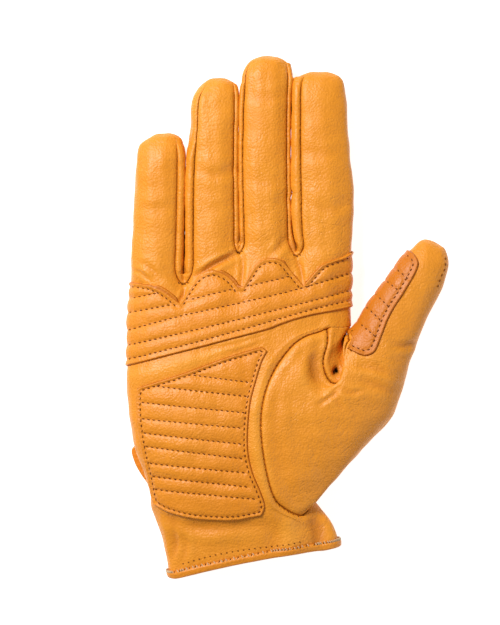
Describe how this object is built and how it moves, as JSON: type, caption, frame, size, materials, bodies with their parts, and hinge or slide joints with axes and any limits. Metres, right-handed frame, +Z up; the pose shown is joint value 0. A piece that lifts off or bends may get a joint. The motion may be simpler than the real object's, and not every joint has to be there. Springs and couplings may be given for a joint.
{
  "type": "motorcycle glove",
  "caption": "Right-hand leather riding glove lying palm up, with a quilted scalloped palm band, a quilted heel pad, a set-in thumb with a patch, a bound cuff and a wrist strap.",
  "frame": {"origin": "middle of the glove's footprint on the surface it lies on, halfway between the thumb tip and the little-finger edge and between the middle fingertip and the hem", "axes": "+X towards the thumb, +Y towards the fingertips, +Z up out of the palm"},
  "size_m": [0.1528, 0.2459, 0.0297],
  "materials": {
    "panel_leather": "golden tan grain leather, soft sheen",
    "patch_leather": "the same leather, quilted",
    "trim_leather": "the same leather, folded and pressed"
  },
  "bodies": {
    "root": {"palm_panel": "panel_leather", "back_panel": "panel_leather", "fourchette_little_ring": "panel_leather", "fourchette_ring_middle": "panel_leather", "fourchette_middle_index": "panel_leather", "thumb_piece": "panel_leather", "thumb_gusset": "panel_leather", "palm_band": "patch_leather", "heel_pad": "patch_leather", "thumb_pad": "patch_leather", "cuff_binding": "trim_leather", "wrist_strap": "trim_leather"}
  },
  "joints": []
}
